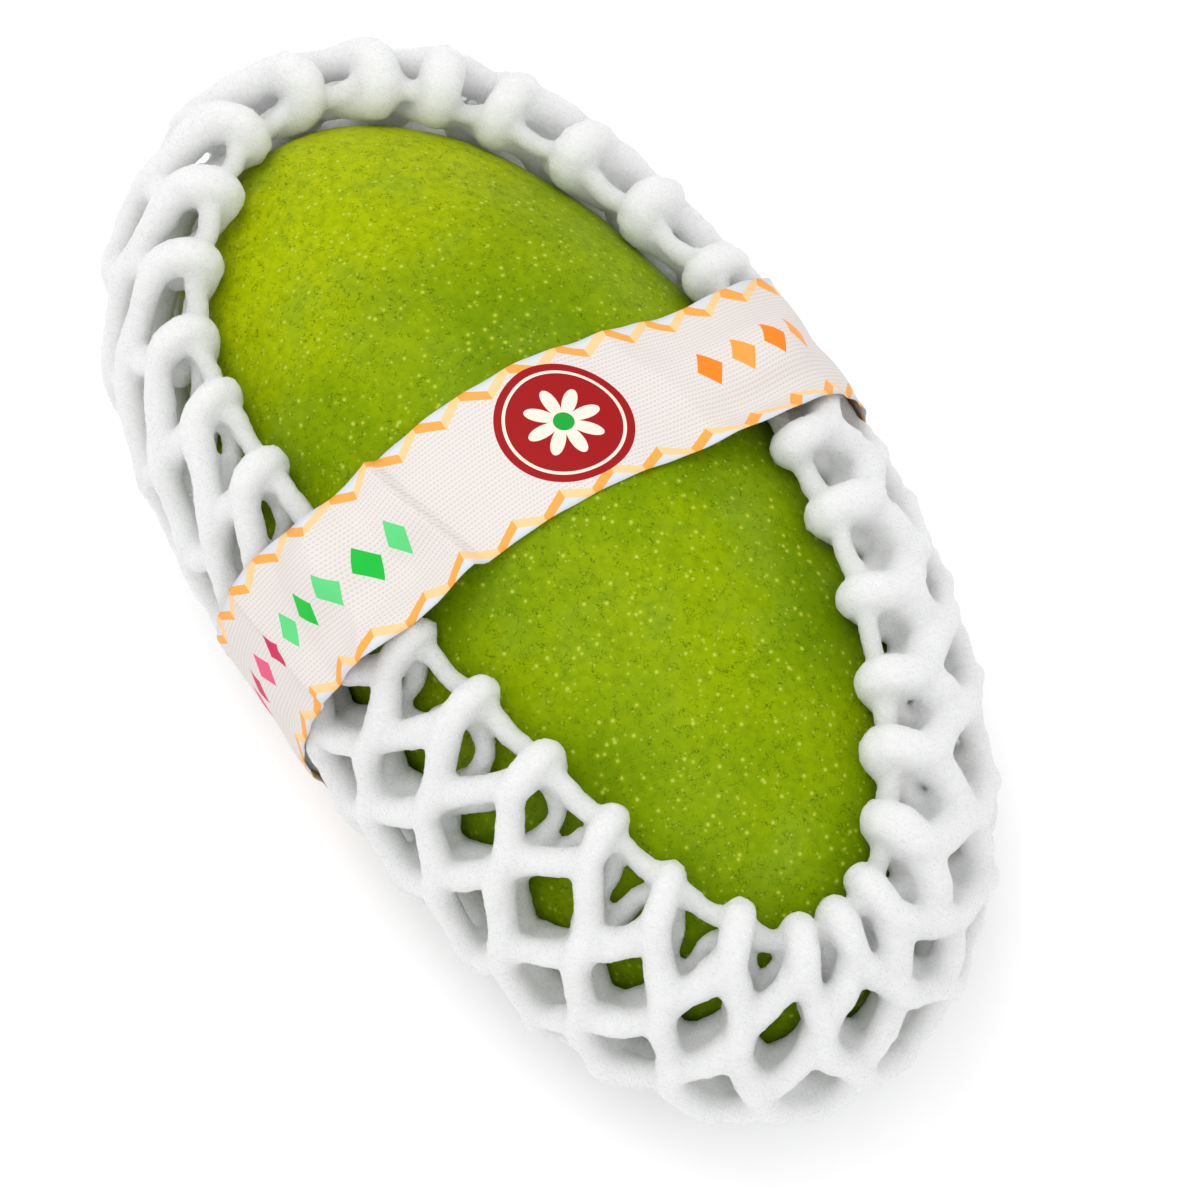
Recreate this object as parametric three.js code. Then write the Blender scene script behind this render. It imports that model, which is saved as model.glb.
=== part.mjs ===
// A whole green mango lying on its broad side in a folded foam net, with a paper band round its waist.
// Millimetres, +Z up. +X runs along the fruit from the stem end to the apex, and the floor is z = 0.
import * as THREE from 'three';
import { mergeVertices } from 'three/addons/utils/BufferGeometryUtils.js';

// The fruit: a flattened egg, blunt at the stem and bent a little to -Y at the apex.
const fruit = {
  length: 150,
  width: 71.2,
  height: 63,
  taper: 0.046,
  stemPower: 2.42,
  apexPower: 2.52,
  bend: 7.3,
  stemBend: 0.3,
  lift: 5.5,
};
const stemScar = { dimple: 1.4, dimpleRadius: 7, button: 1.1, buttonRadius: 3 };
const fruitGrid = { rings: 30, sides: 44 };

// Taken off the fruit's x and y, so that the box of the whole is centred over the origin.
const middle = { x: -0.04, y: -0.01 };

// The net: one sleeve of foam strands, folded back over itself, so its rim is the fold.
const net = {
  cells: 30,
  outerRows: 7,
  innerRows: 6,
  rowPitch: 12.3,
  firstRow: 4,
  knotHalf: 3.6,
  innerMiddle: 2.7,
  outerMiddle: 7,
  innerHalf: 1.75,
  outerHalf: 1.95,
  strandWidth: 3.3,
  knotWidth: 4.3,
  firstTurn: 204,
  waistDrift: 8.6,
  underSpread: 0.55,
  underGap: 1.5,
};
// Every second knuckle of the rim: its turn round the fruit and its height over the waist, in degrees.
const rimKnuckles = [
  [195, 34], [220, 33], [245, 39], [276, 47], [307, 48], [334, 40], [354, 32], [371, 33],
  [389, 41], [409, 47], [439, 46], [467, 29], [488, 23], [510, 20], [532, 19],
];

// The band: a strip of paper pulled tight round the fruit and the net.
const band = { x: -7, width: 20.5, thickness: 0.35, clearance: 0.55, reach: 20, ramp: 8, arcStep: 12 };

const degrees = THREE.MathUtils.degToRad;
const halfLength = fruit.length / 2;
const fruitMiddle = fruit.lift + fruit.height / 2;
const foldMiddle = (net.innerMiddle + net.outerMiddle) / 2;
const foldRadius = (net.outerMiddle - net.innerMiddle) / 2;
const foldQuarter = foldRadius * Math.PI / 2;
const netReach = net.outerMiddle + net.outerHalf;

const foam = new THREE.MeshStandardMaterial({ color: 0xf4f6f5, roughness: 0.75, metalness: 0 });
const peel = new THREE.MeshStandardMaterial({ color: 0x8fae12, roughness: 0.4, metalness: 0 });
const paper = new THREE.MeshStandardMaterial({ color: 0xf3f0ec, roughness: 0.6, metalness: 0 });

// A unit vector at a turn round +Z from +X and a height over the waist, in radians. Below the waist the
// ways down don't meet in a point but along a share of the fruit's length.
function direction(turn, height) {
  const flat = Math.cos(height);
  const spread = height < 0 ? net.underSpread : 0;
  const x = Math.cos(turn) * (spread + (1 - spread) * flat);
  const y = Math.sin(turn) * flat;
  return new THREE.Vector3(x, y, Math.sign(height) * Math.sqrt(Math.max(0, 1 - x * x - y * y)));
}

// The point of the smooth fruit that a unit vector stands for.
function fruitPoint(v) {
  const u = THREE.MathUtils.clamp(v.x, -1 + 1e-9, 1 - 1e-9);
  const power = u < 0 ? fruit.stemPower : fruit.apexPower;
  const girth = Math.sqrt((1 - Math.abs(u) ** power) / (1 - u * u)) * (1 - fruit.taper * u);
  const sideways = -fruit.bend * u * u * (u > 0 ? 1 : fruit.stemBend);
  return new THREE.Vector3(
    halfLength * u - middle.x,
    fruit.width / 2 * girth * v.y + sideways - middle.y,
    fruit.height / 2 * girth * v.z + fruitMiddle,
  );
}

// The outward normal of the smooth fruit there, from two short steps across it.
function fruitNormal(v) {
  const step = 1e-3;
  const across = new THREE.Vector3(0.3, 0.5, 0.81).cross(v).normalize();
  const along = v.clone().cross(across);
  const slope = (axis) => fruitPoint(v.clone().addScaledVector(axis, step).normalize())
    .sub(fruitPoint(v.clone().addScaledVector(axis, -step).normalize()));
  return slope(across).cross(slope(along)).normalize();
}

// The skin, with a shallow dimple at the stem end and the corky button of the stem in it.
function skinPoint(v) {
  const point = fruitPoint(v);
  if (v.x > 0) return point;
  const out = Math.hypot(v.y, v.z) * fruit.width / 2;
  const dimple = stemScar.dimple * Math.exp(-((out / stemScar.dimpleRadius) ** 2));
  const button = stemScar.button * Math.exp(-((out / stemScar.buttonRadius) ** 4));
  point.x += dimple - button;
  return point;
}

function solid(name, positions, material) {
  const loose = new THREE.BufferGeometry();
  loose.setAttribute('position', new THREE.Float32BufferAttribute(positions, 3));
  const geometry = mergeVertices(loose, 1e-4);
  const mesh = new THREE.Mesh(geometry, material);
  mesh.name = name;
  return mesh;
}

function addTriangle(positions, a, b, c) {
  positions.push(...a.toArray(), ...b.toArray(), ...c.toArray());
}

function addQuad(positions, a, b, c, d) {
  addTriangle(positions, a, b, c);
  addTriangle(positions, a, c, d);
}

// Rings round the long axis, closer together at the two ends.
function makeMango() {
  const positions = [];
  const at = (ring, side) => {
    const polar = Math.PI * ring / fruitGrid.rings;
    const round = 2 * Math.PI * (side % fruitGrid.sides) / fruitGrid.sides;
    const out = Math.sin(polar);
    return skinPoint(new THREE.Vector3(-Math.cos(polar), out * Math.cos(round), out * Math.sin(round)));
  };
  const stem = skinPoint(new THREE.Vector3(-1, 0, 0));
  const apex = skinPoint(new THREE.Vector3(1, 0, 0));
  for (let side = 0; side < fruitGrid.sides; side += 1) {
    addTriangle(positions, stem, at(1, side + 1), at(1, side));
    addTriangle(positions, apex, at(fruitGrid.rings - 1, side), at(fruitGrid.rings - 1, side + 1));
    for (let ring = 1; ring < fruitGrid.rings - 1; ring += 1) {
      addQuad(positions, at(ring, side), at(ring, side + 1), at(ring + 1, side + 1), at(ring + 1, side));
    }
  }
  return solid('mango', positions, peel);
}

const rim = new THREE.CatmullRomCurve3(
  rimKnuckles.map(([turn, height]) => direction(degrees(turn), degrees(height))),
  true,
  'catmullrom',
  0.5,
);

// The way down the fruit from the rim at one half cell: how far along, and in which direction.
const descents = new Map();
function descent(half) {
  const key = half.toFixed(4);
  if (descents.has(key)) return descents.get(key);
  const share = half / (2 * net.cells);
  const top = rim.getPoint(share - Math.floor(share)).normalize();
  const topTurn = Math.atan2(top.y, top.x);
  const topHeight = Math.asin(top.z);
  const even = degrees(net.firstTurn) + 2 * Math.PI * share;
  const waistTurn = even + degrees(net.waistDrift) * Math.sin(2 * even);
  const drift = Math.atan2(Math.sin(waistTurn - topTurn), Math.cos(waistTurn - topTurn));
  const stops = [];
  let length = 0;
  let last = null;
  for (let height = topHeight; height > -degrees(88); height -= degrees(1)) {
    const down = Math.min(1, (topHeight - height) / topHeight);
    const v = direction(topTurn + drift * Math.sin(down * Math.PI / 2), height);
    const point = fruitPoint(v).addScaledVector(fruitNormal(v), foldMiddle);
    if (last) length += point.distanceTo(last);
    stops.push({ length, v });
    last = point;
  }
  descents.set(key, stops);
  return stops;
}

// The direction at a length down that way. Where the way is short, the net's rows close up to fit it.
function stopAt(half, length) {
  const stops = descent(half);
  const room = stops.at(-1).length - net.underGap;
  const reach = length * Math.min(1, room / (net.firstRow + net.rowPitch * net.outerRows));
  const next = stops.findIndex((stop, index) => index > 0 && stop.length >= reach);
  const before = stops[next - 1];
  const mix = (reach - before.length) / (stops[next].length - before.length);
  return before.v.clone().lerp(stops[next].v, mix).normalize();
}

// The lowest that the net may lie: on the floor, or over the band where that passes below.
function floorUnder(x) {
  const past = Math.abs(x - band.x) - band.reach;
  return (band.thickness + band.clearance) * (1 - THREE.MathUtils.smoothstep(past, 0, band.ramp));
}

// A point of the net: half cells round, millimetres from the fold (+ outer layer, - inner), and a share
// of the strand's half thickness, + on the side that faces out of the fold.
function netPoint(half, along, depth) {
  const inside = THREE.MathUtils.clamp(0.5 - along / (2 * foldQuarter), 0, 1);
  const thick = depth * THREE.MathUtils.lerp(net.outerHalf, net.innerHalf, inside);
  const v = stopAt(half, Math.max(0, Math.abs(along) - foldQuarter));
  const normal = fruitNormal(v);
  const base = fruitPoint(v);
  const turn = THREE.MathUtils.clamp(along / foldRadius, -Math.PI / 2, Math.PI / 2);
  const away = foldMiddle + (foldRadius + thick) * Math.sin(turn);
  const up = fruitPoint(stopAt(half, 0)).sub(fruitPoint(stopAt(half, 2)));
  up.addScaledVector(normal, -up.dot(normal)).normalize();
  const room = base.z - floorUnder(base.x);
  const squeeze = normal.z < 0 ? Math.min(1, room / (-normal.z * netReach)) : 1;
  return base.addScaledVector(normal, away * squeeze)
    .addScaledVector(up, (foldRadius + thick) * Math.cos(turn));
}

// A convex outline drawn in by its own distance on each side, corner by corner.
function drawnIn(outline, distances) {
  const sides = outline.map((point, i) => {
    const run = outline[(i + 1) % outline.length].clone().sub(point).normalize();
    const inward = new THREE.Vector2(-run.y, run.x);
    return { start: point.clone().addScaledVector(inward, distances[i]), run };
  });
  return sides.map((side, i) => {
    const before = sides[(i + sides.length - 1) % sides.length];
    const corner = before.run.cross(side.run);
    if (Math.abs(corner) < 1e-6) return side.start;
    const reach = side.start.clone().sub(before.start).cross(side.run) / corner;
    return before.start.clone().addScaledVector(before.run, reach);
  });
}

// Millimetres that one half cell takes up round the fruit.
function halfCellWidth(half, along) {
  return netPoint(half + 0.5, along, 0).distanceTo(netPoint(half - 0.5, along, 0));
}

// One mesh of the net: strands slope from its knots, and their lower and upper faces meet at its edge.
function addHole(positions, half, knots, waist) {
  const scale = halfCellWidth(half, waist);
  const knot = Math.min(net.knotWidth / 2, 0.36 * scale);
  const strand = Math.min(net.strandWidth / 2, 0.3 * scale);
  const outline = knots.map((corner) => new THREE.Vector2(corner.side * scale, corner.along));
  const distances = knots.map((corner, i) => {
    const next = knots[(i + 1) % knots.length];
    return corner.side === next.side ? knot : strand;
  });
  const edge = drawnIn(outline, distances).map((p) => netPoint(half + p.x / scale, p.y, 0));
  const over = knots.map((corner) => netPoint(half + corner.side, corner.along, 1));
  const under = knots.map((corner) => netPoint(half + corner.side, corner.along, -1));
  knots.forEach((corner, i) => {
    const next = (i + 1) % knots.length;
    addQuad(positions, over[next], over[i], edge[i], edge[next]);
    addQuad(positions, under[i], under[next], edge[next], edge[i]);
  });
}

// The cut edge of a layer: its last strands run in a zigzag, and face the open side with one edge.
function addCutEdge(positions, tipParity, tipAlong, valleyAlong) {
  const out = Math.sign(tipAlong) * net.strandWidth / 2;
  const loop = [];
  for (let half = 0; half < 2 * net.cells; half += 1) {
    const along = half % 2 === tipParity ? tipAlong : valleyAlong;
    loop.push({
      over: netPoint(half, along, 1),
      under: netPoint(half, along, -1),
      edge: netPoint(half, along + out, 0),
    });
  }
  loop.forEach((here, i) => {
    const next = loop[(i + 1) % loop.length];
    const [a, b] = tipAlong > 0 ? [here, next] : [next, here];
    addQuad(positions, b.over, a.over, a.edge, b.edge);
    addQuad(positions, a.under, b.under, b.edge, a.edge);
  });
}

function makeNet() {
  const positions = [];
  const rowAt = (row) => net.firstRow + net.rowPitch * row;
  // A knot's end nearer the fold, and its end further down the outer layer.
  const upper = (row) => (row === 0 ? 0.4 : rowAt(row) - net.knotHalf);
  const lower = (row) => rowAt(row) + net.knotHalf;
  for (let row = -net.innerRows + 1; row < net.outerRows; row += 1) {
    for (let half = Math.abs(row + 1) % 2; half < 2 * net.cells; half += 2) {
      const flank = (side) => {
        const ends = [upper(row), lower(row)];
        if (row === 0) ends.splice(1, 0, foldQuarter);
        return ends.map((along) => ({ side, along }));
      };
      const knots = [
        { side: 0, along: lower(row - 1) },
        ...flank(1),
        { side: 0, along: upper(row + 1) },
        ...flank(-1).reverse(),
      ];
      addHole(positions, half, knots, rowAt(row));
    }
  }
  addCutEdge(positions, net.outerRows % 2, upper(net.outerRows), lower(net.outerRows - 1));
  addCutEdge(positions, net.innerRows % 2, lower(-net.innerRows), upper(1 - net.innerRows));
  return solid('foam_net', positions, foam);
}

// The corners of the smallest convex outline round some points of the YZ plane, counter-clockwise.
function convexCorners(points) {
  const sorted = [...points].sort((a, b) => a.x - b.x || a.y - b.y);
  const chain = (list) => {
    const kept = [];
    for (const p of list) {
      while (kept.length > 1) {
        const [a, b] = kept.slice(-2);
        if (b.clone().sub(a).cross(p.clone().sub(b)) > 1e-6) break;
        kept.pop();
      }
      kept.push(p);
    }
    return kept.slice(0, -1);
  };
  return [...chain(sorted), ...chain(sorted.reverse())];
}

// That outline grown by a distance, with its corners as arcs.
function grownOutline(corners, distance) {
  const outwardAngle = (a, b) => Math.atan2(a.x - b.x, b.y - a.y);
  return corners.flatMap((corner, i) => {
    const before = corners[(i + corners.length - 1) % corners.length];
    const from = outwardAngle(before, corner);
    let turn = outwardAngle(corner, corners[(i + 1) % corners.length]) - from;
    if (turn < 0) turn += 2 * Math.PI;
    const steps = Math.max(1, Math.ceil(turn / degrees(band.arcStep)));
    return Array.from({ length: steps + 1 }, (_, k) => {
      const angle = from + turn * k / steps;
      return new THREE.Vector2(
        corner.x + distance * Math.cos(angle),
        corner.y + distance * Math.sin(angle),
      );
    });
  });
}

// The band lies on what stands out furthest of the fruit and the net along its stretch.
function makeBand(covered) {
  const points = [];
  for (const mesh of covered) {
    const place = mesh.geometry.getAttribute('position');
    for (let i = 0; i < place.count; i += 1) {
      if (Math.abs(place.getX(i) - band.x) < band.reach) {
        points.push(new THREE.Vector2(place.getY(i), place.getZ(i)));
      }
    }
  }
  const corners = convexCorners(points);
  const inner = grownOutline(corners, band.clearance);
  const outer = grownOutline(corners, band.clearance + band.thickness);
  const near = band.x - band.width / 2;
  const far = band.x + band.width / 2;
  const positions = [];
  inner.forEach((_, i) => {
    const next = (i + 1) % inner.length;
    const at = (x, p) => new THREE.Vector3(x, p.x, p.y);
    addQuad(positions, at(far, outer[i]), at(near, outer[i]), at(near, outer[next]), at(far, outer[next]));
    addQuad(positions, at(near, inner[i]), at(far, inner[i]), at(far, inner[next]), at(near, inner[next]));
    addQuad(positions, at(near, outer[i]), at(near, inner[i]), at(near, inner[next]), at(near, outer[next]));
    addQuad(positions, at(far, inner[i]), at(far, outer[i]), at(far, outer[next]), at(far, inner[next]));
  });
  return solid('paper_band', positions, paper);
}

const mango = makeMango();
const foamNet = makeNet();
const paperBand = makeBand([mango, foamNet]);
const group = new THREE.Group();
group.add(mango, foamNet, paperBand);
export default group;
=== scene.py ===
# A green mango in a folded foam net with a paper band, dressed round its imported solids. Blender 4.5, metres.
import math

import bpy
import numpy as np
from mathutils import Matrix, Vector


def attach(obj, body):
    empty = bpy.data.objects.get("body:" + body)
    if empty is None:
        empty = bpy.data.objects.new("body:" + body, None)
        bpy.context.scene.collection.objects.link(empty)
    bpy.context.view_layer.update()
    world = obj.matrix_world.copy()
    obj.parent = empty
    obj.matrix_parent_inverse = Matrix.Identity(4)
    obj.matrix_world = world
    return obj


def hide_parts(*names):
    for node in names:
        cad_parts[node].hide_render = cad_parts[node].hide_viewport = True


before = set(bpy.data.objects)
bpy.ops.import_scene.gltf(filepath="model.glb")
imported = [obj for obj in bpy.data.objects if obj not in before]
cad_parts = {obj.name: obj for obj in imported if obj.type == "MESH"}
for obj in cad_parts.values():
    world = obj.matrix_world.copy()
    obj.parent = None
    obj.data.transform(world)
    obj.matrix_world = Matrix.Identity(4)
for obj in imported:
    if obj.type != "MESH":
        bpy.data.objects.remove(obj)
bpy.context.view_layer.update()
print("stage 1: packed frame loaded")

mm = 0.001  # the forms below are worked out in millimetres, like the solids that they follow
scene = bpy.context.scene


def linearColour(hexText):
    # an sRGB hex value as the linear colour that the shaders take
    parts = [int(hexText[i:i + 2], 16) / 255 for i in (1, 3, 5)]
    return tuple(c / 12.92 if c <= 0.04045 else ((c + 0.055) / 1.055) ** 2.4 for c in parts) + (1.0,)


def addNode(tree, kind, settings=None, links=None):
    # one node with its settings, by property name or by input, and its links
    node = tree.nodes.new(kind)
    for name, value in (settings or {}).items():
        if isinstance(name, str) and hasattr(node, name):
            setattr(node, name, value)
        else:
            node.inputs[name].default_value = value
    for name, source in (links or {}).items():
        socket = source if isinstance(source, bpy.types.NodeSocket) else source.outputs[0]
        tree.links.new(socket, node.inputs[name])
    return node


def meshObject(name, points, faces, material, smooth=True):
    mesh = bpy.data.meshes.new(name)
    mesh.from_pydata([tuple(p) for p in points], [], [tuple(f) for f in faces])
    mesh.update()
    mesh.polygons.foreach_set("use_smooth", [smooth] * len(mesh.polygons))
    obj = bpy.data.objects.new(name, mesh)
    scene.collection.objects.link(obj)
    mesh.materials.append(material)
    return obj


def gridFaces(rows, columns, closed=False):
    # quads of a grid of points laid out row by row, the last column joined to the first if closed
    i, j = np.meshgrid(np.arange(rows - 1), np.arange(columns if closed else columns - 1), indexing="ij")
    k = (j + 1) % columns
    quads = np.stack([i * columns + j, i * columns + k, (i + 1) * columns + k, (i + 1) * columns + j], axis=-1)
    return quads.reshape(-1, 4)


# The smooth fruit and the net's way over it, by the same rules and values as the solids

fruit = {
    "length": 150.0, "width": 71.2, "height": 63.0, "taper": 0.046,
    "stemPower": 2.42, "apexPower": 2.52, "bend": 7.3, "stemBend": 0.3, "lift": 5.5,
    "middleX": -0.04, "middleY": -0.01,
    "dimple": 1.4, "dimpleRadius": 7.0, "button": 1.1, "buttonRadius": 3.0,
}
net = {
    "cells": 30, "outerRows": 7, "innerRows": 6, "rowPitch": 12.3, "firstRow": 4.0,
    "innerMiddle": 2.7, "outerMiddle": 7.0, "outerHalf": 1.95,
    "firstTurn": 204.0, "waistDrift": 8.6, "underSpread": 0.55, "underGap": 1.5,
}
# every second knuckle of the rim: its turn round the fruit and its height over the waist, in degrees
rimKnuckles = [
    (195, 34), (220, 33), (245, 39), (276, 47), (307, 48), (334, 40), (354, 32), (371, 33),
    (389, 41), (409, 47), (439, 46), (467, 29), (488, 23), (510, 20), (532, 19),
]
foldMiddle = (net["innerMiddle"] + net["outerMiddle"]) / 2
foldRadius = (net["outerMiddle"] - net["innerMiddle"]) / 2
foldQuarter = foldRadius * math.pi / 2
netReach = net["outerMiddle"] + net["outerHalf"]


def direction(turn, height):
    flat = np.cos(height)
    spread = np.where(height < 0, net["underSpread"], 0.0)
    x = np.cos(turn) * (spread + (1 - spread) * flat)
    y = np.sin(turn) * flat
    z = np.sign(height) * np.sqrt(np.maximum(0, 1 - x * x - y * y))
    return np.stack([x, y, z], axis=-1)


def unit(v):
    return v / np.linalg.norm(v, axis=-1, keepdims=True)


def fruitPoint(v):
    u = np.clip(v[..., 0], -1 + 1e-9, 1 - 1e-9)
    power = np.where(u < 0, fruit["stemPower"], fruit["apexPower"])
    girth = np.sqrt((1 - np.abs(u) ** power) / (1 - u * u)) * (1 - fruit["taper"] * u)
    sideways = -fruit["bend"] * u * u * np.where(u > 0, 1.0, fruit["stemBend"])
    return np.stack([
        fruit["length"] / 2 * u - fruit["middleX"],
        fruit["width"] / 2 * girth * v[..., 1] + sideways - fruit["middleY"],
        fruit["height"] / 2 * girth * v[..., 2] + fruit["lift"] + fruit["height"] / 2,
    ], axis=-1)


def fruitNormal(v):
    step = 1e-3
    across = unit(np.cross(np.broadcast_to([0.3, 0.5, 0.81], v.shape), v))
    along = np.cross(v, across)
    slopes = [fruitPoint(unit(v + step * a)) - fruitPoint(unit(v - step * a)) for a in (across, along)]
    return unit(np.cross(*slopes))


def rimDirection(share):
    # a smooth closed curve through the knuckles
    knuckles = np.radians(np.array(rimKnuckles, float))
    points = direction(knuckles[:, 0], knuckles[:, 1])
    place = (share % 1.0) * len(points)
    whole = np.floor(place).astype(int)
    t = (place - whole)[:, None]
    p0, p1, p2, p3 = (points[(whole + k) % len(points)] for k in (-1, 0, 1, 2))
    return unit(p1 + t / 2 * (p2 - p0 + t * (2 * p0 - 5 * p1 + 4 * p2 - p3 + t * (3 * (p1 - p2) + p3 - p0))))


def descents(half):
    # the ways down from the rim, one for each number of half cells round: lengths and directions
    share = half / (2 * net["cells"])
    top = rimDirection(share)
    topTurn = np.arctan2(top[:, 1], top[:, 0])
    topHeight = np.arcsin(top[:, 2])
    even = math.radians(net["firstTurn"]) + 2 * math.pi * share
    waistTurn = even + math.radians(net["waistDrift"]) * np.sin(2 * even)
    drift = np.arctan2(np.sin(waistTurn - topTurn), np.cos(waistTurn - topTurn))
    steps = np.linspace(0, 1, 130)[None, :]
    height = topHeight[:, None] * (1 - steps) - math.radians(88) * steps
    down = np.minimum(1, (topHeight[:, None] - height) / topHeight[:, None])
    v = direction(topTurn[:, None] + drift[:, None] * np.sin(down * math.pi / 2), height)
    points = fruitPoint(v) + foldMiddle * fruitNormal(v)
    lengths = np.cumsum(np.linalg.norm(np.diff(points, axis=1), axis=2), axis=1)
    return np.concatenate([np.zeros((len(half), 1)), lengths], axis=1), v


def stopAt(way, length):
    lengths, v = way
    room = lengths[:, -1] - net["underGap"]
    reach = length * np.minimum(1, room / (net["firstRow"] + net["rowPitch"] * net["outerRows"]))
    after = np.clip((lengths < reach[:, None]).sum(axis=1), 1, lengths.shape[1] - 1)
    rows = np.arange(len(lengths))
    start, end = lengths[rows, after - 1], lengths[rows, after]
    mix = ((reach - start) / (end - start))[:, None]
    return unit(v[rows, after - 1] * (1 - mix) + v[rows, after] * mix)


def smoothStep(x, low, high):
    t = np.clip((x - low) / (high - low), 0, 1)
    return t * t * (3 - 2 * t)


def hump(x, middle, reach):
    # a flat-topped bell: 1 at its middle and nearly nothing past its reach
    return np.exp(-((x - middle) / reach) ** 4)


# The mango: a smooth skin of rings about its long axis, gently dented, with a scar where the stem was

mangoLook = {
    "rings": 240, "sides": 320,
    "dent": 0.32,           # mm
    # the lit and shaded greens are painted light and shade; the stem-end green is partly painted light, partly
    # the fruit's own tone
    "lit": "#879D00", "mid": "#688400", "shaded": "#5F7E00", "bloom": "#789320", "stemEnd": "#A9B500",
    "grain": "#567300", "dot": "#C3CB57", "halo": "#89A006", "fleck": "#355200",
    "dotCell": 1.75, "dotRadius": 0.27, "smallDotCell": 1.25, "smallDotRadius": 0.17,  # mm
    "streak": 0.62,         # mm
}


def makeMango(skin):
    rings, sides = mangoLook["rings"], mangoLook["sides"]
    reach = np.linspace(0, math.pi, rings + 2)[1:-1]
    angle = np.arange(sides) * 2 * math.pi / sides
    v = np.stack([
        np.repeat(-np.cos(reach), sides),
        np.outer(np.sin(reach), np.cos(angle)).ravel(),
        np.outer(np.sin(reach), np.sin(angle)).ravel(),
    ], axis=1)
    v = np.vstack([v, [[-1, 0, 0], [1, 0, 0]]])
    points = fruitPoint(v)
    normals = fruitNormal(v)
    waves = (((0.16, 0.05, 0.21), 0.3), ((-0.11, 0.19, 0.08), 2.1), ((0.07, -0.17, 0.24), 4.4),
             ((0.29, 0.12, -0.1), 1.2), ((0.33, -0.26, 0.15), 3.3))
    dents = sum(np.sin(points @ np.array(w) + start) for w, start in waves) / len(waves)
    points = points + normals * (mangoLook["dent"] * (dents - 0.4))[:, None]
    out = np.hypot(v[:, 1], v[:, 2]) * fruit["width"] / 2
    scar = fruit["dimple"] * np.exp(-(out / fruit["dimpleRadius"]) ** 2)
    button = fruit["button"] * np.exp(-(out / fruit["buttonRadius"]) ** 4)
    points[:, 0] += np.where(v[:, 0] < 0, scar - button, 0)
    faces = gridFaces(rings, sides, closed=True).tolist()
    first, last, end = len(v) - 2, len(v) - 1, (rings - 1) * sides
    faces += [(first, (k + 1) % sides, k) for k in range(sides)]
    faces += [(last, end + k, end + (k + 1) % sides) for k in range(sides)]
    return meshObject("mango_fruit", points * mm, faces, skin), points


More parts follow.
